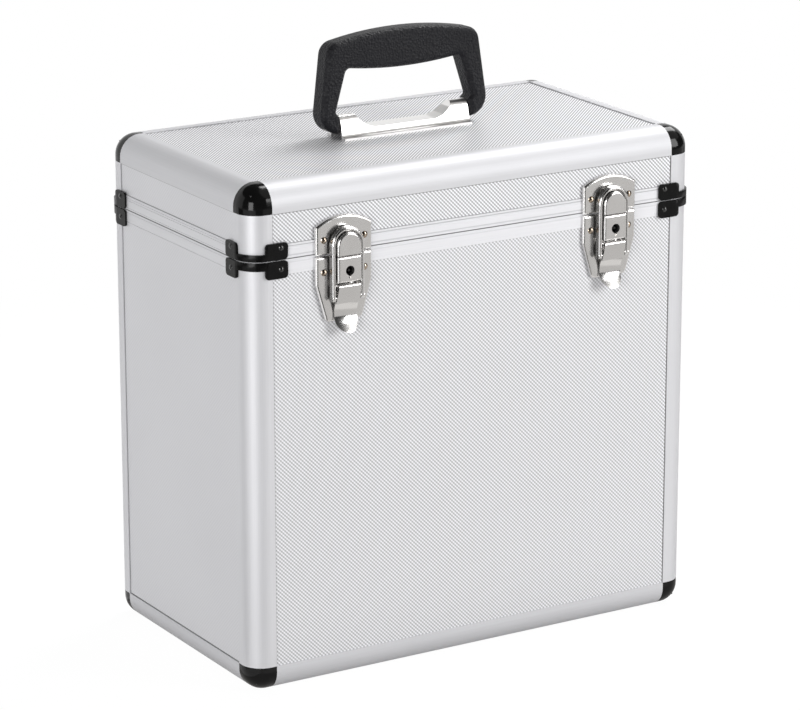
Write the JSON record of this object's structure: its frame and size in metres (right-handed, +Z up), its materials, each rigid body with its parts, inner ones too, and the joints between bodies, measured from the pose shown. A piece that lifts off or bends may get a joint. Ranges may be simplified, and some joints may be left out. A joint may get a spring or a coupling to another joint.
{
  "type": "record carrying case",
  "caption": "Tall box case for records: embossed metal panels in rounded aluminium edges, black ball corners, hinged lid, key-lock draw latches and a folding carrying handle",
  "frame": {"origin": "centre of the footprint of the whole part, on the floor, at rest with the lid shut and the handle upright", "axes": "+X across the front to the right as seen from the front, +Y into the depth so that the latches face -Y, +Z up"},
  "size_m": [0.3598, 0.2162, 0.4239],
  "materials": {
    "board": "thin hardboard, hidden between the sheet and the lining",
    "embossed_sheet": "thin sheet embossed with fine staggered dots",
    "anodised_profile": "satin anodised extrusion",
    "gloss_black": "glossy black moulded plastic",
    "black_bracket": "black coated steel plate",
    "foam_lining": "dark grey foam sheet",
    "rivet_steel": "black rivet heads on the corner brackets, nickel ones on the latches and hinges",
    "handle_plastic": "grained black plastic",
    "lock_steel": "dark steel lock core",
    "pin_steel": "plain steel",
    "latch_chrome": "bright nickel plated steel"
  },
  "bodies": {
    "base": {"base_ball_corners": "gloss_black", "base_board_back": "board", "base_board_bottom": "board", "base_board_front": "board", "base_board_left": "board", "base_board_right": "board", "base_corner_brackets": "black_bracket", "base_lining": "foam_lining", "base_rim_back": "anodised_profile", "base_rim_front": "anodised_profile", "base_rim_left": "anodised_profile", "base_rim_right": "anodised_profile", "base_rivets": "rivet_steel", "base_skins": "embossed_sheet", "base_upright_back_left": "anodised_profile", "base_upright_back_right": "anodised_profile", "base_upright_front_left": "anodised_profile", "base_upright_front_right": "anodised_profile", "bottom_edge_back": "anodised_profile", "bottom_edge_front": "anodised_profile", "bottom_edge_left": "anodised_profile", "bottom_edge_right": "anodised_profile", "hinge_base_leaves": "latch_chrome", "hinge_pins": "pin_steel", "latch_lever_pins": "pin_steel", "left_latch_plate": "latch_chrome", "right_latch_plate": "latch_chrome"},
    "lid": {"handle_bracket": "latch_chrome", "handle_bracket_screws": "pin_steel", "handle_rods": "pin_steel", "hinge_lid_leaves": "latch_chrome", "left_latch_strike": "latch_chrome", "lid_ball_corners": "gloss_black", "lid_board_back": "board", "lid_board_front": "board", "lid_board_left": "board", "lid_board_right": "board", "lid_board_top": "board", "lid_corner_brackets": "black_bracket", "lid_lining": "foam_lining", "lid_rim_back": "anodised_profile", "lid_rim_front": "anodised_profile", "lid_rim_left": "anodised_profile", "lid_rim_right": "anodised_profile", "lid_rivets": "rivet_steel", "lid_skins": "embossed_sheet", "lid_uprights": "anodised_profile", "right_latch_strike": "latch_chrome", "top_edge_back": "anodised_profile", "top_edge_front": "anodised_profile", "top_edge_left": "anodised_profile", "top_edge_right": "anodised_profile"},
    "handle": {"handle_grip": "handle_plastic"},
    "left_lever": {"left_latch_lever": "latch_chrome"},
    "left_bail": {"left_latch_bail": "latch_chrome"},
    "left_lock": {"left_lock_plug": "lock_steel"},
    "right_lever": {"right_latch_lever": "latch_chrome"},
    "right_bail": {"right_latch_bail": "latch_chrome"},
    "right_lock": {"right_lock_plug": "lock_steel"}
  },
  "joints": [
    {"name": "lid_hinge", "type": "hinge", "parent": "base", "child": "lid", "pos_m": [0, 0.10455, 0.302], "axis": [-1, 0, 0], "range_deg": [0, 105]},
    {"name": "handle_swing", "type": "hinge", "parent": "lid", "child": "handle", "pos_m": [0, 0.0026, 0.3615], "axis": [1, 0, 0], "range_deg": [-86, 90]},
    {"name": "left_lever_swing", "type": "hinge", "parent": "base", "child": "left_lever", "pos_m": [-0.1059, -0.10515, 0.2792], "axis": [-1, 0, 0], "range_deg": [0, 92]},
    {"name": "left_bail_swing", "type": "hinge", "parent": "left_lever", "child": "left_bail", "pos_m": [-0.1059, -0.10395, 0.2715], "axis": [-1, 0, 0], "range_deg": [-92, 0]},
    {"name": "left_lock_turn", "type": "hinge", "parent": "base", "child": "left_lock", "pos_m": [-0.1059, -0.10315, 0.2904], "axis": [0, -1, 0], "range_deg": [0, 90]},
    {"name": "right_lever_swing", "type": "hinge", "parent": "base", "child": "right_lever", "pos_m": [0.1059, -0.10515, 0.2792], "axis": [-1, 0, 0], "range_deg": [0, 92]},
    {"name": "right_bail_swing", "type": "hinge", "parent": "right_lever", "child": "right_bail", "pos_m": [0.1059, -0.10395, 0.2715], "axis": [-1, 0, 0], "range_deg": [-92, 0]},
    {"name": "right_lock_turn", "type": "hinge", "parent": "base", "child": "right_lock", "pos_m": [0.1059, -0.10315, 0.2904], "axis": [0, -1, 0], "range_deg": [0, 90]}
  ],
  "couplings": [
    {"joint": "left_bail_swing", "follows": "left_lever_swing", "ratio": -1},
    {"joint": "right_bail_swing", "follows": "right_lever_swing", "ratio": -1}
  ]
}
